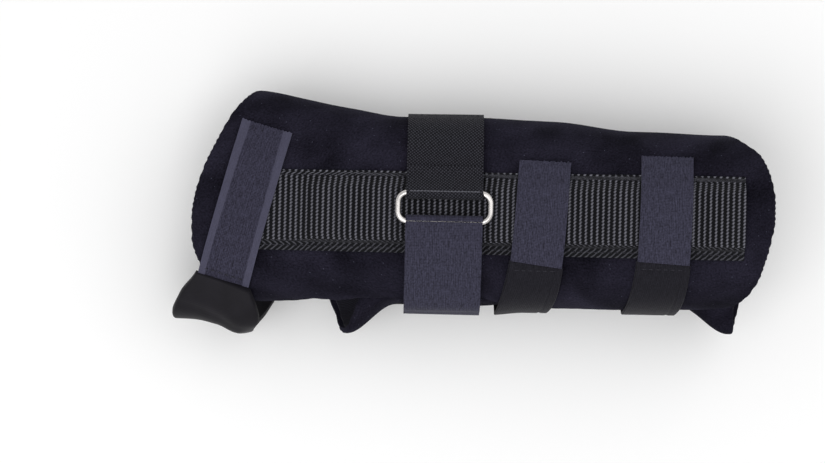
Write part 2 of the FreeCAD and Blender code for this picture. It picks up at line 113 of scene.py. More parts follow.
ulnar_reach = through(
    (0, hand_ulnar + 1.0), (28, hand_ulnar), (48, between(hand_ulnar, wrist_ulnar, 0.3)),
    (70, between(hand_ulnar, wrist_ulnar, 0.66)), (wrist - 20, wrist_ulnar), (wrist + 20, wrist_ulnar + 0.4),
    (wrist + 50, between(wrist_ulnar, forearm_ulnar, 0.15)), (length - 61, forearm_ulnar),
    (length, forearm_ulnar - 0.7))
radial_reach = through(
    (0, hand_radial), (28, hand_radial), (wrist - 20, wrist_radial), (wrist + 18, wrist_radial),
    (wrist + 38, forearm_radial), (length, forearm_radial - 0.5))
gauss_places, gauss_weights = np.polynomial.legendre.leggauss(14)


def section(station, side, turn):
    """A cross-section's point and slope; turn is 0 at the back of the hand, pi at the palm."""
    reach = np.where(side > 0, ulnar_reach(station), radial_reach(station))
    depth = between(hand_depth, elbow_depth, station / length) / 2
    wide = 1 + roundness
    y = side * reach * (wide * np.sin(turn) + roundness * np.sin(3 * turn))
    z = floor_height + depth * (1 + wide * np.cos(turn) - roundness * np.cos(3 * turn))
    slope_y = side * reach * (wide * np.cos(turn) + 3 * roundness * np.cos(3 * turn))
    slope_z = depth * (-wide * np.sin(turn) + 3 * roundness * np.sin(3 * turn))
    return y, z, slope_y, slope_z


def girth_to(station, side, turn):
    spots = turn[..., None] * (gauss_places + 1) / 2
    slopes = section(station[..., None], side[..., None], spots)[2:]
    return (np.hypot(*slopes) * gauss_weights).sum(-1) * turn / 2


def quarter(station, side):
    station = np.asarray(station, float)
    return girth_to(station, np.full(station.shape, side), np.full(station.shape, math.pi / 2))


def place(station, girth, offset):
    """Points in metres at a station, a girth from the middle of the back, and a height, in mm."""
    station, girth, offset = np.broadcast_arrays(np.asarray(station, float), girth, offset)
    side = np.where(girth >= 0, 1.0, -1.0)
    turn = np.abs(girth) / np.where(girth >= 0, quarter(station, 1.0), quarter(station, -1.0)) * math.pi / 2
    for _ in range(5):
        slopes = section(station, side, turn)[2:]
        turn = turn - (girth_to(station, side, turn) - np.abs(girth)) / np.hypot(*slopes)
    y, z, slope_y, slope_z = section(station, side, turn)
    size = np.hypot(slope_y, slope_z)
    return np.stack((station - origin_station, y - side * slope_z / size * offset,
                     z + side * slope_y / size * offset), -1) * MM


def palm_place(station, across, offset):
    """As place, with the girth measured from the middle of the palm, + towards the thumb."""
    station, across, offset = np.broadcast_arrays(np.asarray(station, float), across, offset)
    to_thumb = across >= 0
    half_way = 2 * np.where(to_thumb, quarter(station, -1.0), quarter(station, 1.0))
    return place(station, np.where(to_thumb, -1, 1) * (half_way - np.abs(across)), offset)


def deselect():
    if bpy.context.object and bpy.context.object.mode != "OBJECT":
        bpy.ops.object.mode_set(mode="OBJECT")
    bpy.ops.object.select_all(action="DESELECT")


def apply(piece, kind, **settings):
    deselect()
    bpy.context.view_layer.objects.active = piece
    piece.select_set(True)
    modifier = piece.modifiers.new(kind, kind)
    for name, value in settings.items():
        setattr(modifier, name, value)
    bpy.ops.object.modifier_apply(modifier=modifier.name)


def finish_piece(piece, *materials, angle=50):
    deselect()
    bpy.context.view_layer.objects.active = piece
    piece.select_set(True)
    bpy.ops.object.mode_set(mode="EDIT")
    bpy.ops.mesh.select_all(action="SELECT")
    bpy.ops.mesh.normals_make_consistent(inside=False)
    bpy.ops.object.mode_set(mode="OBJECT")
    bpy.ops.object.shade_smooth_by_angle(angle=math.radians(angle))
    for material in materials:
        piece.data.materials.append(material)


def slab(name, rows, columns, spot, inner, outer, placing=place, crowd=0.6, rim=0, rounding=0.0):
    """A grid given thickness: spot(u, v) is its cut outline, inner and outer its two faces'
    heights. Rows crowd towards the borders, where the outer face rolls over by the rounding.
    Its UV map is in metres, along and across the cloth, across measured from the middle."""
    deselect()
    bpy.ops.mesh.primitive_grid_add(x_subdivisions=rows, y_subdivisions=columns, size=1)
    piece = bpy.context.object
    piece.name = piece.data.name = name
    unit = np.empty(len(piece.data.vertices) * 3)
    piece.data.vertices.foreach_get("co", unit)
    u, v = unit.reshape(-1, 3)[:, :2].T + 0.5
    row, column = np.rint(u * rows).astype(int), np.rint(v * columns).astype(int)
    u = u - crowd * np.sin(2 * math.pi * u) / (2 * math.pi)
    v = v - crowd * np.sin(2 * math.pi * v) / (2 * math.pi)
    station, girth = spot(u, v)
    apply(piece, "SOLIDIFY", thickness=0.1, offset=-1, material_offset_rim=rim)
    top = placing(station, girth, outer(station, girth))
    lattice = np.empty((rows + 1, columns + 1, 3))
    lattice[row, column] = top
    steps = [np.linalg.norm(np.diff(lattice, axis=axis), axis=2).cumsum(axis) for axis in (0, 1)]
    along = np.pad(steps[0], ((1, 0), (0, 0)))
    across = np.pad(steps[1], ((0, 0), (1, 0)))
    if rounding:
        border = np.minimum(np.minimum(along, along[-1:] - along),
                            np.minimum(across, across[:, -1:] - across))
        share = np.clip(1 - border[row, column] / (rounding * MM), 0, 1)
        drop = rounding * (1 - np.sqrt(1 - share * share))
        low, high = inner(station, girth), outer(station, girth)
        top = placing(station, girth, np.maximum(high - drop, low + 0.35 * (high - low)))
    bottom = placing(station, girth, inner(station, girth))
    piece.data.vertices.foreach_set("co", np.concatenate((top, bottom)).ravel())
    cloth = np.stack((along[row, column], (across - across[:, -1:] / 2)[row, column]), -1)
    cloth = np.concatenate((cloth, cloth))
    corners = np.empty(len(piece.data.loops), int)
    piece.data.loops.foreach_get("vertex_index", corners)
    piece.data.uv_layers.active.data.foreach_set("uv", cloth[corners].ravel())
    piece.data.update()
    return piece


def colour(code):
    """An sRGB hex value as linear RGBA."""
    parts = [int(code[index:index + 2], 16) / 255 for index in (1, 3, 5)]
    linear = [part / 12.92 if part <= 0.04045 else ((part + 0.055) / 1.055) ** 2.4 for part in parts]
    return (*linear, 1.0)


def new_material(name, **shader_values):
    material = bpy.data.materials.new(name)
    material.use_nodes = True
    shader = material.node_tree.nodes["Principled BSDF"]
    for socket, value in shader_values.items():
        shader.inputs[socket.replace("_", " ")].default_value = value
    return material, material.node_tree, shader


def add(tree, kind, inputs=(), **settings):
    """Adds one node: inputs pairs a socket with a value or with another node's output."""
    made = tree.nodes.new(kind)
    for name, value in settings.items():
        setattr(made, name, value)
    for socket, value in inputs:
        if isinstance(value, bpy.types.NodeSocket):
            tree.links.new(value, made.inputs[socket])
        else:
            made.inputs[socket].default_value = value
    return made


def noise(tree, vector, scale, detail, roughness=0.5):
    return add(tree, "ShaderNodeTexNoise", [("Vector", vector), ("Scale", scale), ("Detail", detail),
                                            ("Roughness", roughness)]).outputs["Fac"]


def maths(tree, operation, *values):
    return add(tree, "ShaderNodeMath", enumerate(values), operation=operation).outputs[0]


def spread(tree, value, low, high, to_low=0.0, to_high=1.0):
    """The value moved from the range low-high to to_low-to_high, and kept inside it."""
    return add(tree, "ShaderNodeMapRange", [("Value", value), ("From Min", low), ("From Max", high),
                                            ("To Min", to_low), ("To Max", to_high)]).outputs[0]


def mix_colours(tree, share, first, second):
    return add(tree, "ShaderNodeMix", [(0, share), ("A", first), ("B", second)],
               data_type="RGBA").outputs["Result"]


def two_tone(tree, value, dark, light, start=0.0, end=1.0):
    """A colour ramp between two colours."""
    tone = add(tree, "ShaderNodeValToRGB", [("Fac", value)])
    for element, position, code in zip(tone.color_ramp.elements, (start, end), (dark, light)):
        element.position = position
        element.color = colour(code)
    return tone.outputs["Color"]


def coordinates(tree, kind):
    return add(tree, "ShaderNodeTexCoord").outputs[kind]


def bump(tree, shader, height, strength, distance):
    """Relief over the whole surface, its distance in metres."""
    relief = add(tree, "ShaderNodeBump", [("Height", height), ("Strength", strength), ("Distance", distance)])
    tree.links.new(relief.outputs["Normal"], shader.inputs["Normal"])


def tint(tree, shader, socket):
    tree.links.new(socket, shader.inputs["Base Color"])


def loop_laminate():
    """Brushed nylon loop knit: a deep blue-black pile with a soft sheen and stray light lint."""
    material, tree, shader = new_material(
        "brushed_nylon_loop_on_foam", Roughness=0.95, Sheen_Weight=0.05, Sheen_Roughness=0.4,
        Sheen_Tint=colour("#a9aac4"), Specular_IOR_Level=0.03)
    uv = coordinates(tree, "UV")
    pile = noise(tree, uv, 1100.0, 3.0, 0.7)
    drift = noise(tree, uv, 42.0, 4.0)
    tone = two_tone(tree, maths(tree, "MULTIPLY", pile, drift), "#0b0a10", "#2a2835", 0.12, 0.42)
    lint = add(tree, "ShaderNodeTexVoronoi", [("Vector", uv), ("Scale", 520.0)])
    speck = spread(tree, lint.outputs["Distance"], 0.05, 0.14, 0.35, 0.0)
    rare = maths(tree, "GREATER_THAN", lint.outputs["Color"], 0.72)
    tint(tree, shader, mix_colours(tree, maths(tree, "MULTIPLY", speck, rare), tone, colour("#7d8096")))
    bump(tree, shader, pile, 0.55, 0.0006)
    return material


def cut_foam():
    """The raw edge of the laminate: fine open-cell foam, lilac grey between two dark skins."""
    material, tree, shader = new_material("cut_polyurethane_foam_edge", Roughness=1.0,
                                          Specular_IOR_Level=0.05)
    cells = add(tree, "ShaderNodeTexVoronoi", [("Vector", coordinates(tree, "Object")), ("Scale", 1500.0)])
    tint(tree, shader, two_tone(tree, cells.outputs["Distance"], "#16141c", "#3b3746"))
    bump(tree, shader, cells.outputs["Distance"], 0.6, 0.0004)
    return material


laminate = loop_laminate()
foam_edge = cut_foam()
dorsal_tip_edge = through(
    (0, 26.6), (0.05, 23.8), (0.168, 15.8), (0.309, 8.2), (0.4, 3.8), (0.5, 0.5),
    (0.6, -0.9), (0.7, -0.3), (0.758, 1.6), (0.8, 3.8), (0.9, 11.0), (0.96, 19.0), (1, 30.0))
dorsal_elbow_edge = through(
    (0, 21.4), (0.18, 13.5), (0.27, 6.5), (0.39, 2.1), (0.487, 0.3), (0.57, 0.3),
    (0.667, 2.1), (0.796, 5.6), (0.91, 11.7), (1, 18.8))
dorsal_radial_edge = through(
    (30, -46.0), (46, -44.5), (55, -41.0), (64, -38.8), (76, -37.0), (100, -35.8),
    (wrist + 14, -35.0), (wrist + 28, -40.0), (wrist + 40, -46.5),
    (length - 60, -47.5), (length - 39, -46.0), (length - 19, -41.5))
palmar_tip_edge = through(
    (0, 26.6), (0.15, 34.0), (0.35, 38.0), (0.52, 39.5), (0.6, 43.0), (0.68, 55.0),
    (0.75, 64.0), (0.82, 68.0), (0.88, 72.5), (0.94, 78.5), (1, 84.0))
palmar_elbow_edge = through(
    (0, 21.4), (0.2, 11.0), (0.42, 8.0), (0.65, 10.0), (0.8, 15.5), (0.88, 16.5), (1, 24.0))
palmar_tuck = -28.5


def lap_share(station, girth):
    return ramp(-girth, 18.0, 26.5) * ramp(station, 52, 69)


def bite(u, v):
    """The shears' and overlock needle's small unevenness along a cut edge, in mm."""
    return 0.22 * np.sin(230 * v + 3 * np.sin(31 * v)) + 0.18 * np.sin(97 * u + 2 * np.sin(13 * v))


fold_depth = 17.0
back_width, palm_width = 98.0, 136.0


def dorsal_outline(margin):
    """The dorsal panel, with the fold that carries it round to the palm side."""
    def spot(u, v):
        in_from_fold = v * (back_width + fold_depth) - fold_depth
        on_back, on_palm = np.clip(in_from_fold / back_width, 0, 1), np.clip(-in_from_fold / palm_width, 0, 1)
        start = np.where(in_from_fold < 0, palmar_tip_edge(on_palm), dorsal_tip_edge(on_back))
        end = length - np.where(in_from_fold < 0, palmar_elbow_edge(on_palm), dorsal_elbow_edge(on_back))
        station = between(start + margin + bite(0, v), end - margin + bite(1, v), u)
        ulnar = quarter(station, 1.0) + fold_depth
        return station, between(ulnar, dorsal_radial_edge(station) + margin + bite(u * 2.2, 0), v)
    return spot


def palmar_outline(margin):
    def spot(u, v):
        on_palm = between(fold_depth / palm_width, 1, v)
        start = palmar_tip_edge(on_palm) + margin + bite(0, v)
        end = length - palmar_elbow_edge(on_palm) - margin + bite(1, v)
        station = between(start, end, u)
        ulnar = -quarter(station, 1.0) + fold_depth
        return station, between(ulnar, 2 * quarter(station, -1.0) + palmar_tuck - margin, v)
    return spot


def flare(station, across):
    side_line = across - quarter(station, -1.0)
    thumb_flap = 14.0 * ramp(station, 92, 70) * ramp(side_line, -24, -2) * ramp(side_line, 15, 1)
    elbow_flap = (12.5 * ramp(station, length - 41, length - 18)
                  * ramp(side_line, -26, 1) * ramp(side_line, 10, 2))
    return thumb_flap + elbow_flap


def palmar_top(station, across):
    girth = across - 2 * quarter(station, -1.0)
    edge = dorsal_radial_edge(station)
    covered = ramp(girth, edge - 4.5, edge - 1.0) * (across > 0)
    return between(shell_top, 2.8, covered) + flare(station, across)


def dips(station, girth):
    """Shallow hollows where the foam has been flexed, in mm."""
    return 0.28 * (np.sin(station / 9 + np.sin(girth / 7)) * np.sin(girth / 11 + station / 23) + 1)


dorsal_panel = slab(
    "dorsal_foam_panel", 170, 150, dorsal_outline(0.0),
    lambda station, girth: lap_bottom * lap_share(station, girth) + shell_bottom,
    lambda station, girth: between(shell_top, lap_top, lap_share(station, girth)) - dips(station, girth),
    rim=1, rounding=1.5)
palmar_panel = slab(
    "palmar_foam_panel", 150, 110, palmar_outline(0.0),
    lambda station, across: shell_bottom + flare(station, across),
    lambda station, across: palmar_top(station, across) - dips(station, across), palm_place,
    rim=1, rounding=1.5)
for panel, node in ((dorsal_panel, "dorsal_shell"), (palmar_panel, "palmar_shell")):
    finish_piece(panel, laminate, foam_edge)
    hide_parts(node)
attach(palmar_panel, "palmar")
hinge_middle = Vector((0, forearm_ulnar + 5, floor_height + between(hand_depth, elbow_depth, 0.5) / 2)) * MM
hinge_middle.x = (length / 2 - origin_station) * MM
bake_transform(dorsal_panel)


# ---- Linings: brushed tricot on the skin side ------------------------------------------------
# A soft warp-knit tricot is laminated to the foam's skin side, a little short of its cut edge, so
# that the splint can be worn against the skin.
lining_thickness = 0.7


def waves(tree, vector, period, direction, distortion=0.0):
    """Bands with one wave per period, in mm, on coordinates in metres."""
    scale = 2 * math.pi / 20 / (period * MM)
    return add(tree, "ShaderNodeTexWave", [("Vector", vector), ("Scale", scale), ("Distortion", distortion)],
               bands_direction=direction).outputs["Fac"]


def tricot():
    """Brushed polyester tricot: matt charcoal with fine wales that run down the arm."""
    material, tree, shader = new_material(
        "brushed_polyester_tricot", Roughness=0.9, Sheen_Weight=0.06, Sheen_Roughness=0.5,
        Specular_IOR_Level=0.05)
    uv = coordinates(tree, "UV")
    height = maths(tree, "ADD", waves(tree, uv, 0.9, "Y", 0.6), noise(tree, uv, 900.0, 2.0))
    tone = spread(tree, height, 0.0, 2.0)
    tint(tree, shader, mix_colours(tree, tone, colour("#17161c"), colour("#35343e")))
    bump(tree, shader, height, 0.4, 0.0003)
    return material


def cut_area(outline):
    """The area of the flat cut, in square metres, from its edge in stations and girths."""
    up = np.linspace(0, 1, 200)
    station, girth = outline(np.concatenate((up, up * 0 + 1, up[::-1], up * 0)),
                             np.concatenate((up * 0, up, up * 0 + 1, up[::-1])))
    return abs(np.dot(station, np.roll(girth, -1)) - np.dot(girth, np.roll(station, -1))) / 2 * MM * MM


lining_knit = tricot()
dorsal_lining = slab(
    "dorsal_lining_knit", 110, 90, dorsal_outline(1.5),
    lambda station, girth: lap_bottom * lap_share(station, girth),
    lambda station, girth: lap_bottom * lap_share(station, girth) + lining_thickness)
palmar_lining = slab(
    "palmar_lining_knit", 100, 80, palmar_outline(1.5), flare,
    lambda station, across: flare(station, across) + lining_thickness, palm_place)
for lining, panel, node, cut, outline in (
        (dorsal_lining, dorsal_panel, "dorsal_lining", (0.115, 0.25), dorsal_outline(1.5)),
        (palmar_lining, palmar_panel, "palmar_lining", (0.118, 0.2), palmar_outline(1.5))):
    finish_piece(lining, lining_knit)
    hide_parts(node)
    cut_area(outline)
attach(palmar_lining, "palmar")
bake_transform(dorsal_lining)


# ---- Dorsal stay sleeve: ribbed webbing -------------------------------------------------------
# A length of ribbed polyester webbing is stitched down both sides over the back, and the bare stay
# slides in it. Each rib is a cord of grey thread twisted across a black ground, and
# the lower edge ends in a herringbone selvedge.
layer_gap, sleeve_gap, moving_gap = 0.1, 0.2, 0.3
laid_level = shell_top + layer_gap
webbing_thickness = 1.1
sleeve_start, sleeve_end, sleeve_width = 24.0, length - 14.0, 35.0
stay_start = 58.0
hump_height = 3.1
rib_pitch = 2.75
lower_selvedge, upper_selvedge = 4.0, 1.4


def sleeve_bottom(station, girth):
    raised = ramp(abs(girth), 15.5, 9.6) * ramp(station, stay_start - 14, stay_start - 3)
    return shell_top + sleeve_gap + hump_height * raised


def sleeve_top(station, girth):
    return sleeve_bottom(station, girth) + webbing_thickness


def ribbed_top(station, girth):
    rib = 0.5 + 0.5 * np.cos(2 * math.pi * (np.asarray(station) - sleeve_start) / rib_pitch)
    field = (ramp(girth, lower_selvedge - sleeve_width / 2 - 0.4, lower_selvedge - sleeve_width / 2 + 0.4)
             * ramp(girth, sleeve_width / 2 - upper_selvedge + 0.4, sleeve_width / 2 - upper_selvedge - 0.4))
    return sleeve_top(station, girth) - between(0.35, 0.6 * (1 - rib), field)


def ribbed_webbing():
    """Ribbed polyester webbing: silver-grey cords twisted across a black ground, dull all over."""
    material, tree, shader = new_material("ribbed_polyester_webbing", Roughness=0.7, Sheen_Weight=0.03,
                                          Specular_IOR_Level=0.1)
    uv = coordinates(tree, "UV")
    along, across, _ = add(tree, "ShaderNodeSeparateXYZ", [("Vector", uv)]).outputs

    def turns(distance, period):
        return maths(tree, "MULTIPLY", distance, 2 * math.pi / (period * MM))

    crest = maths(tree, "COSINE", turns(along, rib_pitch))
    twist = maths(tree, "SINE", turns(maths(tree, "MULTIPLY_ADD", along, 0.5, across), 1.5))
    cord = maths(tree, "MULTIPLY_ADD", crest, 2.0, twist)
    ridge = (sleeve_width - lower_selvedge) / 2 * MM
    off_ridge = maths(tree, "ABSOLUTE", maths(tree, "SUBTRACT", across, ridge))
    zigzag = maths(tree, "SINE", turns(maths(tree, "MULTIPLY_ADD", off_ridge, 1.2, along), rib_pitch))
    in_lower = maths(tree, "GREATER_THAN", across, (sleeve_width / 2 - lower_selvedge) * MM)
    height = add(tree, "ShaderNodeMix", [(0, in_lower), ("A", cord), ("B", zigzag)]).outputs[0]
    strewn = maths(tree, "MULTIPLY_ADD", noise(tree, uv, 1300.0, 3.0), 1.4, height)
    tint(tree, shader, two_tone(tree, spread(tree, strewn, 0.7, 4.2), "#0c0c10", "#7c7c86"))
    bump(tree, shader, height, 0.6, 0.0003)
    return material


def sewing_thread():
    """Bonded polyester sewing thread: near black, its smooth twist catching a little light."""
    material, tree, shader = new_material("bonded_polyester_thread", Roughness=0.5, Specular_IOR_Level=0.2)
    twist = waves(tree, coordinates(tree, "Object"), 0.5, "DIAGONAL")
    tint(tree, shader, mix_colours(tree, twist, colour("#0f0e13"), colour("#2d2c36")))
    return material


thread = sewing_thread()


def stitches(name, line, body, pitch=3.2, long=2.3, thick=0.55):
    """A row of lockstitches: line(lift) gives the points it follows, lifted off the cloth."""
    low, high = line(0.0), line(1.0)
    run = np.concatenate(([0], np.linalg.norm(np.diff(low, axis=0), axis=1).cumsum()))
    spots = np.arange(pitch / 2, run[-1] / MM, pitch) * MM
    deselect()
    bpy.ops.mesh.primitive_uv_sphere_add(segments=6, ring_count=4, radius=0.5)
    first = bpy.context.object
    copies = [first]
    for spot in spots:
        ahead = [Vector([np.interp(spot + step, run, low[:, axis]) for axis in range(3)])
                 for step in (-0.4 * long * MM, 0.4 * long * MM)]
        up = Vector([np.interp(spot, run, (high - low)[:, axis]) for axis in range(3)]).normalized()
        along = (ahead[1] - ahead[0]).normalized()
        side = up.cross(along).normalized()
        frame_of_stitch = Matrix((along, side, along.cross(side))).transposed().to_4x4()
        stitch = first.copy()
        stitch.data = first.data.copy()
        stitch.data.transform(Matrix.Diagonal((long * MM, thick * MM, thick * 0.7 * MM, 1)))
        stitch.data.transform(frame_of_stitch)
        stitch.data.transform(Matrix.Translation((ahead[0] + ahead[1]) / 2))
        bpy.context.collection.objects.link(stitch)
        copies.append(stitch)
    row = copies[1]
    deselect()
    for copy in copies[1:]:
        copy.select_set(True)
    bpy.context.view_layer.objects.active = row
    bpy.ops.object.join()
    bpy.data.objects.remove(first)
    row.name = row.data.name = name
    finish_piece(row, thread)
    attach(row, body)
    return row


sleeve_webbing = ribbed_webbing()
sleeve = slab(
    "dorsal_stay_sleeve_webbing", 486, 46,
    lambda u, v: (between(sleeve_start, sleeve_end, u), (0.5 - v) * sleeve_width),
    sleeve_bottom, ribbed_top, crowd=0.0)
finish_piece(sleeve, sleeve_webbing)
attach(sleeve, "dorsal")
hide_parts("dorsal_stay_sleeve")
for side, name in ((1, "ulnar"), (-1, "radial")):
    stitches("sleeve_stitches_" + name,
             lambda lift: place(np.linspace(sleeve_start + 1.5, sleeve_end - 1.5, 90),
                                side * (sleeve_width / 2 - 2.2), sleeve_top(100, 17) - 0.1 + lift),
             "dorsal")
stitches("sleeve_stitches_finger_end",
         lambda lift: place(sleeve_start + 2.2, np.linspace(-15.5, 15.5, 30),
                            sleeve_top(24, 17) - 0.15 + lift),
         "dorsal")


# ---- Palmar stay pocket: a strip of laminate sewn to the palm side ---------------------------
# The flat palmar stay lies in a long pocket sewn along both edges and across its finger end. It
# stays open at the elbow end, so that the stay can be drawn out.
pocket_start, pocket_end, pocket_width = 64.0, length - 26.0, 40.0
pocket_skin = 0.8


def pocket_place(station, across, level):
    """level is 0 on the pocket's inner face and 1 on its outer face."""
    sewn = palm_place(station, across, laid_level + pocket_skin * level)
    flat = sewn.copy()
    flat[..., 2] = pocket_skin * MM * (1 - level)
    bulge = ramp(np.abs(across), 16.5, 10.8) * ramp(station, pocket_start + 1.5, pocket_start + 8.5)
    return sewn + (flat - sewn) * bulge[..., None]


pocket = slab(
    "palmar_stay_pocket_cloth", 110, 48,
    lambda u, v: (between(pocket_start, pocket_end, u), (v - 0.5) * pocket_width),
    lambda station, across: 0.0 * station, lambda station, across: 1.0 + 0 * station, pocket_place)
finish_piece(pocket, laminate)
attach(pocket, "palmar")
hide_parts("palmar_stay_pocket")
for side, name in ((1, "radial"), (-1, "ulnar")):
    stitches("pocket_stitches_" + name,
             lambda lift: palm_place(np.linspace(pocket_start + 2, pocket_end - 2, 80), side * 18.2,
                                     laid_level + pocket_skin - 0.1 + lift), "palmar")


# ---- Stays: bare aluminium bars with dipped vinyl tips -----------------------------------------
# Each stay is a flat bar cut from soft aluminium strip, bent to the arm by hand, its ends dipped
# in vinyl so that they don't wear through the cloth.
def rolled_aluminium():
    """Mill-finish aluminium strip: grey and satin, with rolling lines down its length."""
    material, tree, shader = new_material(
        "mill_finish_aluminium_strip", Metallic=1.0, Roughness=0.38, Base_Color=colour("#c3c5c8"))
    drawn_out = add(tree, "ShaderNodeMapping", [("Vector", coordinates(tree, "Object")),
                                                ("Scale", (12.0, 2200.0, 2200.0))])
    lines = noise(tree, drawn_out.outputs[0], 1.0, 3.0)
    tree.links.new(spread(tree, lines, 0.0, 1.0, 0.28, 0.5), shader.inputs["Roughness"])
    bump(tree, shader, lines, 0.15, 0.0002)
    return material


def dipped_vinyl():
    """Plastisol dip: black, rubbery and slightly lumpy, with soft highlights."""
    material, tree, shader = new_material("dipped_vinyl", Roughness=0.4)
    lumps = noise(tree, coordinates(tree, "Object"), 420.0, 2.0)
    bump(tree, shader, lumps, 0.3, 0.0004)
    tint(tree, shader, mix_colours(tree, lumps, colour("#151518"), colour("#242428")))
    return material


def wear(node, material):
    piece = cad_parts[node]
    piece.data.materials.clear()
    piece.data.materials.append(material)


aluminium, vinyl = rolled_aluminium(), dipped_vinyl()
for node in ("dorsal_stay", "palmar_stay"):
    wear(node, aluminium)
    wear(node + "_tips", vinyl)


# ---- Ring: nickel-plated steel wire ------------------------------------------------------------
# A rectangular ring bent from round wire and butt welded. It hangs in the fold of its webbing, and
# the wrist strap turns back round its other bar.
def nickel():
    """Bright nickel plate over drawn wire: warm silver with fine draw marks."""
    material, tree, shader = new_material(
        "nickel_plated_steel_wire", Metallic=1.0, Roughness=0.2, Base_Color=colour("#dcd8d6"))
    marks = noise(tree, coordinates(tree, "Object"), 1400.0, 3.0)
    tree.links.new(spread(tree, marks, 0.0, 1.0, 0.14, 0.32), shader.inputs["Roughness"])
    bump(tree, shader, marks, 0.02, 0.0001)
    return material


wear("ring", nickel())


# ---- Ring webbing: flat webbing folded round the ring's upper bar -------------------------------
# Black polyester webbing, sewn flat to the ulnar side of the back, goes under the ring's upper bar,
# turns back over it and is sewn down a short way from the bar. Its cut end is heat sealed.
wide_width = 34.2
half_strap = 0.6
strap_thickness = 2 * half_strap
wire_radius = 1.3
ring_low, ring_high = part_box("ring")
ring_y, ring_z = (ring_low[1] + ring_high[1]) / 2 / MM, (ring_low[2] + ring_high[2]) / 2 / MM
bar_reach = (ring_high[1] - ring_low[1]) / 2 / MM - wire_radius
fold_radius = wire_radius + moving_gap + half_strap
ring_level = sleeve_top(wrist, 0) + layer_gap + fold_radius + half_strap
under_bar = ring_level - fold_radius


def locate(points):
    """The girths and heights of (y, z) points at the wrist, in mm."""
    girth = points[:, 0].copy()
    for _ in range(12):
        foot = place(wrist, girth, 0.0)[:, 1:] / MM
        outward = place(wrist, girth, 1.0)[:, 1:] / MM - foot
        gap = points - foot
        girth += 0.9 * (gap[:, 0] * outward[:, 1] - gap[:, 1] * outward[:, 0])
    return girth, (gap * outward).sum(1)


def laid(level, girths):
    girths = np.asarray(girths, float)
    return [tuple(point) for point in place(wrist, girths, level(girths))[:, 1:] / MM]


def folded(bar_y, start_angle, end_angle, count):
    angles = np.radians(np.linspace(start_angle, end_angle, count))
    return list(zip(bar_y + fold_radius * np.cos(angles), ring_z + fold_radius * np.sin(angles)))


def wrist_ribbon(name, points, thickness, rows, columns=30, width=wide_width, **slab_settings):
    """A strap across the wrist whose middle, seen end on, runs smoothly through the points."""
    points = np.array(points)
    chords = np.linalg.norm(np.diff(points, axis=0), axis=1)
    knots = np.concatenate(([0], chords.cumsum()))
    slopes = np.diff(points, axis=0) / chords[:, None]
    tangents = np.vstack((slopes[:1], (slopes[:-1] * chords[1:, None] + slopes[1:] * chords[:-1, None])
                          / (chords[1:] + chords[:-1])[:, None], slopes[-1:]))
    fine = np.linspace(0, knots[-1], 700)
    span = np.clip(np.searchsorted(knots, fine, side="right") - 1, 0, len(chords) - 1)
    t = ((fine - knots[span]) / chords[span])[:, None]
    middle = ((1 + 2 * t) * (1 - t) ** 2 * points[span]
              + t * (1 - t) ** 2 * chords[span, None] * tangents[span]
              + t * t * (3 - 2 * t) * points[span + 1]
              + t * t * (t - 1) * chords[span, None] * tangents[span + 1])
    run = np.concatenate(([0], np.linalg.norm(np.diff(middle, axis=0), axis=1).cumsum()))
    ahead = np.gradient(middle, axis=0)
    ahead /= np.linalg.norm(ahead, axis=1)[:, None]

    def ribbon_place(station, share, height):
        spot = np.asarray(share) * run[-1]
        centre = np.stack([np.interp(spot, run, middle[:, axis]) for axis in (0, 1)], -1)
        normal = np.stack((-np.interp(spot, run, ahead[:, 1]), np.interp(spot, run, ahead[:, 0])), -1)
        girth, offset = locate(centre + normal * np.asarray(height)[:, None])
        return place(station, girth, offset)

    return slab(name, rows, columns, lambda u, v: (wrist + (v - 0.5) * width, u),
                lambda station, share: -thickness / 2 + 0 * share,
                lambda station, share: thickness / 2 + 0 * share, ribbon_place, crowd=0.0, **slab_settings)


def woven(name, dark, light, thread_pitch, pick_pitch, turned=0.0, contrast=1.0, sheen=0.04,
          selvedge=None):
    """Narrow woven tape: lengthwise threads crossed by picks, or both on the slant as in twill,
    their colour uneven along each thread."""
    material, tree, shader = new_material(name, Roughness=0.8, Sheen_Weight=sheen, Sheen_Roughness=0.4,
                                          Specular_IOR_Level=0.08)
    uv = coordinates(tree, "UV")
    laid_out = add(tree, "ShaderNodeMapping", [("Vector", uv), ("Rotation", (0, 0, math.radians(turned)))])
    threads = waves(tree, laid_out.outputs[0], thread_pitch, "Y", 0.5)
    picks = waves(tree, laid_out.outputs[0], pick_pitch, "X", 0.4)
    drawn_out = add(tree, "ShaderNodeMapping", [("Vector", uv), ("Scale", (260.0, 1500.0, 1.0))])
    streaks = noise(tree, drawn_out.outputs[0], 1.0, 3.0)
    uneven = maths(tree, "ADD", streaks, noise(tree, uv, 1100.0, 2.0))
    height = maths(tree, "MULTIPLY_ADD", maths(tree, "MULTIPLY", threads, picks), contrast, uneven)
    tone = spread(tree, height, 0.75, 1.35 + 0.8 * contrast)
    mixed = mix_colours(tree, tone, colour(dark), colour(light))
    if selvedge:
        start, lighter = selvedge
        across = add(tree, "ShaderNodeSeparateXYZ", [("Vector", uv)]).outputs["Y"]
        on_edge = spread(tree, maths(tree, "ABSOLUTE", across), start * MM, (start + 0.5) * MM, 0.0, 0.5)
        mixed = mix_colours(tree, on_edge, mixed, colour(lighter))
    tint(tree, shader, mixed)
    bump(tree, shader, height, 0.45, 0.0003)
    return material


webbing_level = through((4, under_bar), (9.6, under_bar), (18, laid_level + half_strap + 2.6),
                        (26, laid_level + half_strap + 0.15), (80, laid_level + half_strap))
webbing_end = float(quarter(wrist, 1.0)) - 4
webbing_return = 19.0
return_lift = strap_thickness + layer_gap


def return_level(girth):
    return webbing_level(girth) + return_lift + 2 * (fold_radius - return_lift / 2) * ramp(girth, 15, 7.5)


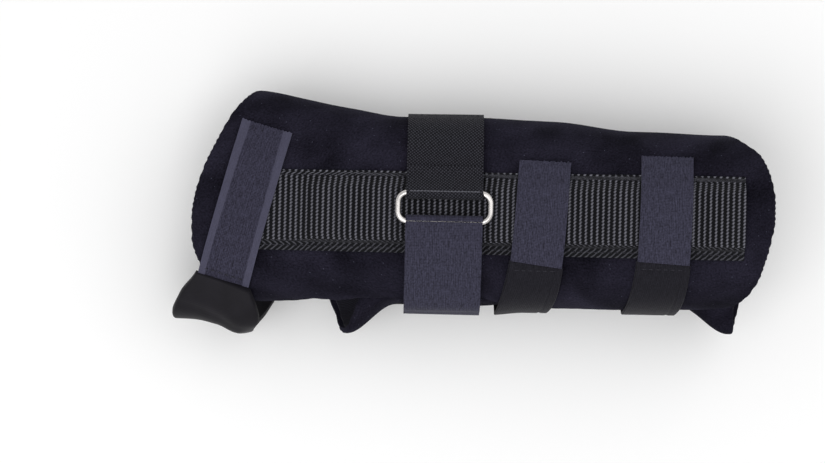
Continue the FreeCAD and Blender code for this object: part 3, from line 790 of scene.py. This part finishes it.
webbing_path = laid(webbing_level, np.linspace(webbing_end, 13.5, 16))
webbing_path += laid(webbing_level, [12, 10])
webbing_path += folded(ring_y + bar_reach, -90, -270, 13)
webbing_path += laid(return_level, [10.5, 13, 15.5, webbing_return])
diagonal_webbing = woven("polyester_webbing_black", "#040406", "#42424a", 1.15, 1.15, turned=50.0,
                         contrast=2.2)
sealed_edge = woven("heat_sealed_webbing_edge", "#2c2c34", "#80808c", 0.8, 0.8, sheen=0.0)
ring_webbing = wrist_ribbon("ring_webbing_folded", webbing_path, strap_thickness, 130, rim=1)
finish_piece(ring_webbing, diagonal_webbing, sealed_edge)
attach(ring_webbing, "dorsal")
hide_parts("ring_webbing")
across_wrist = np.linspace(wrist - 15.5, wrist + 15.5, 30)
fold_thread = woven("grey_fold_cord", "#2a2a30", "#8c8c96", 0.9, 0.9, sheen=0.0)
for degrees, name in ((55, "outer"), (88, "inner")):
    turn = math.radians(degrees)
    reach = fold_radius + half_strap - 0.15
    spot = (ring_y + bar_reach - reach * math.cos(turn) + 0.8, ring_z + reach * math.sin(turn))
    girths, heights = locate(np.tile(spot, (30, 1)))
    row = stitches("ring_webbing_cord_" + name, lambda lift: place(across_wrist, girths, heights + lift),
                   "dorsal", pitch=1.5, long=1.9, thick=0.7)
    row.data.materials.clear()
    row.data.materials.append(fold_thread)
for girth, level, name in ((16.8, return_level, "fold"), (webbing_end - 3, webbing_level, "side"),
                           (webbing_end - 7, webbing_level, "side_inner")):
    stitches("ring_webbing_stitches_" + name,
             lambda lift: place(across_wrist, girth, level(girth) + half_strap + lift),
             "dorsal")


# ---- Wrist strap: from the palm side, through the ring and back on itself ------------------------
# Soft loop-faced strap webbing is sewn to the palmar panel, passes round the thumb side and over
# the lapped edge, turns back round the ring's lower bar and is held down by hook tape at its end.
wrist_side = -float(quarter(wrist, -1.0))
run_start, sewn_end = wrist_side - 12.0, wrist_side - 24.0
run_joint = -34.0
band_bottom = through((-70, shell_top + moving_gap), (-44, shell_top + moving_gap),
                      (-36, lap_top + moving_gap), (-27, lap_top + moving_gap + 0.2),
                      (-9.6, under_bar - half_strap), (0, under_bar - half_strap))


def run_level(girth):
    sewn = ramp(girth, run_start - 3, run_start + 1)
    return between(laid_level, band_bottom(girth), sewn) + half_strap


def tail_level(girth):
    over_hook = 1.2 * ramp(girth, wrist_side + 30, wrist_side + 22)
    return run_level(girth) + strap_thickness + moving_gap + over_hook


def at_wrist(girth, height=0.0):
    return Vector(place(wrist, float(girth), float(height)))


strap_cloth = woven("loop_faced_strap_webbing", "#141318", "#28272e", 0.9, 0.7, contrast=0.5, sheen=0.08)
slate_tape = woven("slate_hook_and_loop_tape", "#23222c", "#48475a", 0.8, 0.7, contrast=0.35)
wrist_run = wrist_ribbon("wrist_strap_from_palm", laid(run_level, np.linspace(sewn_end, run_joint, 24)),
                         strap_thickness, 90)
wrist_fold = wrist_ribbon("wrist_strap_fold",
                          laid(run_level, np.linspace(run_joint, -8, 12))
                          + folded(ring_y - bar_reach, -90, 90, 13),
                          strap_thickness, 80)
tail_start = (ring_y - bar_reach - moving_gap, ring_z + fold_radius)
tail_lift = tail_start[1] - place(wrist, ring_y - bar_reach, 0.0)[2] / MM
tail_tip = wrist_side - 1.0
tail_path = [tail_start, (tail_start[0] - 3, tail_start[1])]
tail_path += laid(lambda girth: between(tail_level(girth), tail_lift + 0.1, ramp(girth, -27, -7)),
                  [-11, -14, -18, -22, -26, -30, -34])
tail_path += laid(tail_level, np.linspace(-36, tail_tip, 7))
wrist_tail = wrist_ribbon("wrist_strap_tail_tape", tail_path, strap_thickness, 90, rim=1)
hook_path = laid(lambda girth: tail_level(girth) - half_strap - layer_gap - 0.5,
                 np.linspace(wrist_side + 21, tail_tip + 0.5, 9))
hook_patch = wrist_ribbon("wrist_hook_patch_tape", hook_path, 1.0, 30, width=wide_width - 1)
for piece, node, finish in ((wrist_run, "wrist_strap_sewn_end", (strap_cloth,)),
                            (wrist_fold, "wrist_strap_run", (slate_tape,)),
                            (wrist_tail, "wrist_strap_tail", (slate_tape, sealed_edge)),
                            (hook_patch, "wrist_hook_patch", (slate_tape,))):
    finish_piece(piece, *finish)
    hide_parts(node)
at_wrist(run_start, 5)
at_wrist(-38, 7)
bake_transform(wrist_run)
at_wrist(-30, 9)
at_wrist(-8, 9)
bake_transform(wrist_fold)
at_wrist(-4.5, 13)
at_wrist(-9, 13)
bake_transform(wrist_tail)
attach(hook_patch, "wrist_tail")
for girth, name in ((sewn_end + 2, "end"), (run_start - 2, "root")):
    stitches("wrist_strap_stitches_" + name,
             lambda lift: place(across_wrist, girth, laid_level + strap_thickness + lift),
             "palmar")


# ---- Forearm straps: soft bands with hook tabs ----------------------------------------------------
# Each band is sewn to the palmar panel and comes round the thumb side over the lapped edge. A tab
# of hook tape is sewn to its end and grips the brushed face of the back.
narrow_width = 24.0
tape_thickness = 1.0


def strip(line, start, end, width):
    def spot(u, v):
        fray = 0.18 * np.sin(95 * v) + 0.14 * np.sin(41 * v)
        girth = between(start, end + fray, u)
        lean = line(girth + 0.5) - line(girth - 0.5)
        sideways = (v - 0.5) * width / np.hypot(1, lean)
        return line(girth) + sideways, girth - lean * sideways
    return spot


def forearm_strap(name, station, slant, tip_shift, seam, tip):
    side = -float(quarter(station, -1.0))
    root = side - 9.0
    line = through((side - 30, station - slant), (side, station - slant), (seam, station),
                   (tip, station + tip_shift))
    hump_top = float(sleeve_top(station, 0))
    level = through((side - 18, 4.1), (side - 7, 4.1), (side, lap_top + moving_gap), (-27, lap_top + 0.5),
                    (-10, hump_top + moving_gap), (10, hump_top + moving_gap), (17, 6.0), (25, 4.1))

    def band_bottom_at(station, girth):
        return between(laid_level, level(girth), ramp(girth, root - 3, root))

    def band_top_at(station, girth):
        off_edge = (station - line(girth)) / (narrow_width / 2) - 0.68
        return band_bottom_at(station, girth) + strap_thickness - 0.3 * np.exp(-(off_edge / 0.045) ** 2)

    def spot_on(girth, height):
        return Vector(place(float(line(girth)), float(girth), float(height)))

    band = slab(name + "_strap_band_cloth", 110, 60, strip(line, root - 16, seam, narrow_width),
                band_bottom_at, band_top_at, crowd=0.0, rounding=0.4)
    tab = slab(name + "_strap_tab_tape", 80, 60, strip(line, seam, tip, narrow_width - 1),
               lambda station, girth: level(girth), lambda station, girth: level(girth) + tape_thickness,
               crowd=0.0, rim=1)
    finish_piece(band, strap_cloth)
    finish_piece(tab, slate_tape, sealed_edge)
    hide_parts(name + "_strap_band", name + "_strap_sewn_end")
    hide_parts(name + "_strap_hook_tab")
    spot_on(root - 2, 4)
    spot_on(root + 3, 4)
    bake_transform(band)
    spot_on(seam, 7)
    spot_on(seam + 5, 7)
    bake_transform(tab)
    half = narrow_width / 2 - 2
    for girth, height, body, slot, row in (
            (root - 14, laid_level + strap_thickness, "palmar", "strap_webbing", "end"),
            (root - 2, laid_level + strap_thickness, "palmar", "strap_webbing", "root"),
            (seam - 2.2, None, name + "_strap", "strap_webbing", "seam")):
        height = float(level(girth)) + strap_thickness if height is None else height
        middle = float(line(girth))
        stitches(name + "_strap_stitches_" + row,
                 lambda lift: place(np.linspace(middle - half, middle + half, 24), girth, height + lift),
                 body)


forearm_strap("mid", 154.0, 5.5, 3.2, -20.2, 22.6)
forearm_strap("upper", 210.3, 4.3, 1.2, -18.5, 25.4)


# ---- Thumb strap: a neoprene pad round the web of the thumb, with its hook tab ---------------------
# A shaped pad of cloth-faced neoprene comes from the palm through the web of the thumb. A length of
# hook tape with raised selvedges is sewn to it and runs slanting over the back of the hand.
thumb_width = 23.5
thumb_line = through((-31, 14.0), (38, 32.8))
thumb_seam, thumb_tip = -30.5, 36.2
flat_sleeve_top = shell_top + sleeve_gap + webbing_thickness
thumb_bottom = through((-32, shell_top + moving_gap), (-22, flat_sleeve_top + moving_gap),
                       (22, flat_sleeve_top + moving_gap), (31, shell_top + moving_gap))
web_station = 14.0
web_side = -float(quarter(web_station, -1.0))
web_hinge, web_root = web_side - 4, web_side - 34
web_finger_edge = through((web_root, 27.0), (web_side - 24, 18.0), (web_side - 12, 3.0), (web_side - 2, -8.0),
                          (web_side + 4, -9.3), (-38, -5.5), (-33, 0.0), (-30, 2.4))
web_thumb_edge = through((web_root, 52.0), (web_side - 24, 44.0), (web_side - 12, 33.0), (web_side - 4, 27.6),
                         (web_side + 2, 28.0), (-41, 30.4), (-36, 29.2), (-30, 26.0))
web_reach = through((-10, 11.4), (0, 11.7), (11, 14.0), (21, 18.0), (30, 16.0))
pad_thickness = 3.0


def web_bottom(station, girth):
    out = ramp(girth, -31, web_side + 2) * ramp(girth, web_root + 3, web_side - 4)
    return shell_top + moving_gap + (web_reach(station) - pad_thickness - shell_top) * out


def web_top(station, girth):
    creases = (np.exp(-((girth - web_side - 9 + 0.22 * station) / 1.6) ** 2)
               + 0.8 * np.exp(-((girth - web_side + 3 - 0.15 * station) / 1.9) ** 2))
    return web_bottom(station, girth) + pad_thickness - 0.55 * creases


def web_spot(u, v):
    girth = between(thumb_seam, web_root, u)
    lean = -6.9 * (v - 0.5) * ramp(girth, web_side, thumb_seam)
    return between(web_finger_edge(girth), web_thumb_edge(girth), v), girth + lean


def faced_neoprene():
    """Neoprene faced with smooth nylon jersey: black, soft, with a broad low sheen."""
    material, tree, shader = new_material("nylon_faced_neoprene", Roughness=0.6, Sheen_Weight=0.05,
                                          Sheen_Roughness=0.35, Specular_IOR_Level=0.12)
    uv = coordinates(tree, "UV")
    cloud = noise(tree, uv, 90.0, 3.0)
    tint(tree, shader, mix_colours(tree, cloud, colour("#0f0e11"), colour("#211f25")))
    bump(tree, shader, waves(tree, uv, 0.7, "DIAGONAL", 1.0), 0.18, 0.0002)
    return material


def tape_with_selvedges(station, girth):
    off_line = np.abs(station - thumb_line(girth)) / (thumb_width / 2)
    return thumb_bottom(girth) + tape_thickness - 0.2 + 0.35 * ramp(off_line, 0.72, 0.76)


def thumb_spot(girth, height):
    return Vector(place(float(thumb_line(girth)), float(girth), float(height)))


web_pad = slab("thumb_web_pad_neoprene", 90, 60, web_spot, web_bottom, web_top, crowd=0.5, rounding=1.3)
finish_piece(web_pad, faced_neoprene())
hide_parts("thumb_web_pad", "thumb_pad_palm_end")
Vector(place(web_station, web_hinge - 4, 14.0))
Vector(place(web_station, web_hinge + 4, 14.0))
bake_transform(web_pad)
thumb_tab = slab("thumb_tab_tape", 110, 70, strip(thumb_line, thumb_seam - 0.1, thumb_tip, thumb_width),
                 lambda station, girth: thumb_bottom(girth), tape_with_selvedges, crowd=0.0, rim=1)
selvedged_tape = woven("slate_tape_with_selvedges", "#211f29", "#454457", 0.8, 0.7, contrast=0.35,
                       selvedge=(thumb_width / 2 - 3.2, "#565568"))
finish_piece(thumb_tab, selvedged_tape, sealed_edge)
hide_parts("thumb_hook_tab")
thumb_spot(thumb_seam, 5)
thumb_spot(thumb_seam + 6, 5)
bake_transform(thumb_tab)
seam_outline = strip(thumb_line, thumb_seam + 2.6, thumb_tip, thumb_width - 3)
seam_station, seam_girth = seam_outline(0.0, np.linspace(0, 1, 24))
stitches("thumb_seam_stitches",
         lambda lift: place(seam_station, seam_girth, thumb_bottom(seam_girth) + tape_thickness + lift),
         "thumb_strap")


# ---- Light, floor and camera ---------------------------------------------------------------
floor_gap = 0.0005
deselect()
bpy.ops.mesh.primitive_plane_add(size=4, location=(0, 0, cad_low[2] - floor_gap))
floor = bpy.context.object
floor.name = "floor"
paper, tree, shader = new_material("white_paper", Roughness=0.9, Base_Color=colour("#fbfbfb"))
floor.data.materials.append(paper)
view_centre = Vector((98.7 - origin_station, -8.3, 45.0)) * MM
for name, spot, size, power in (("softbox", (-0.35, -0.6, 1.3), 1.2, 9), ("fill", (0.6, 0.4, 1.3), 1.3, 4)):
    bpy.ops.object.light_add(type="AREA", location=spot)
    lamp = bpy.context.object
    lamp.name = name
    lamp.data.size = size
    lamp.data.energy = power
    lamp.rotation_euler = (view_centre - Vector(spot)).to_track_quat("-Z", "Y").to_euler()
world = bpy.context.scene.world or bpy.data.worlds.new("studio")
bpy.context.scene.world = world
world.use_nodes = True
world.node_tree.nodes["Background"].inputs["Color"].default_value = (1, 1, 1, 1)
world.node_tree.nodes["Background"].inputs["Strength"].default_value = 0.64
bpy.context.scene.view_settings.view_transform = "Standard"
elevation = math.radians(88)
distance = 1.6
roll = math.radians(1.4)
sensor, view_width = 36, 0.3716
bpy.ops.object.camera_add()
camera = bpy.context.object
camera.data.sensor_width = sensor
camera.data.lens = sensor * distance / view_width
back = Vector((0, -math.cos(elevation), math.sin(elevation)))
camera.location = view_centre + back * distance
camera.rotation_mode = "QUATERNION"
camera.rotation_quaternion = back.to_track_quat("Z", "Y")
camera.rotation_quaternion.rotate(Quaternion(back, roll))
bpy.context.scene.camera = camera
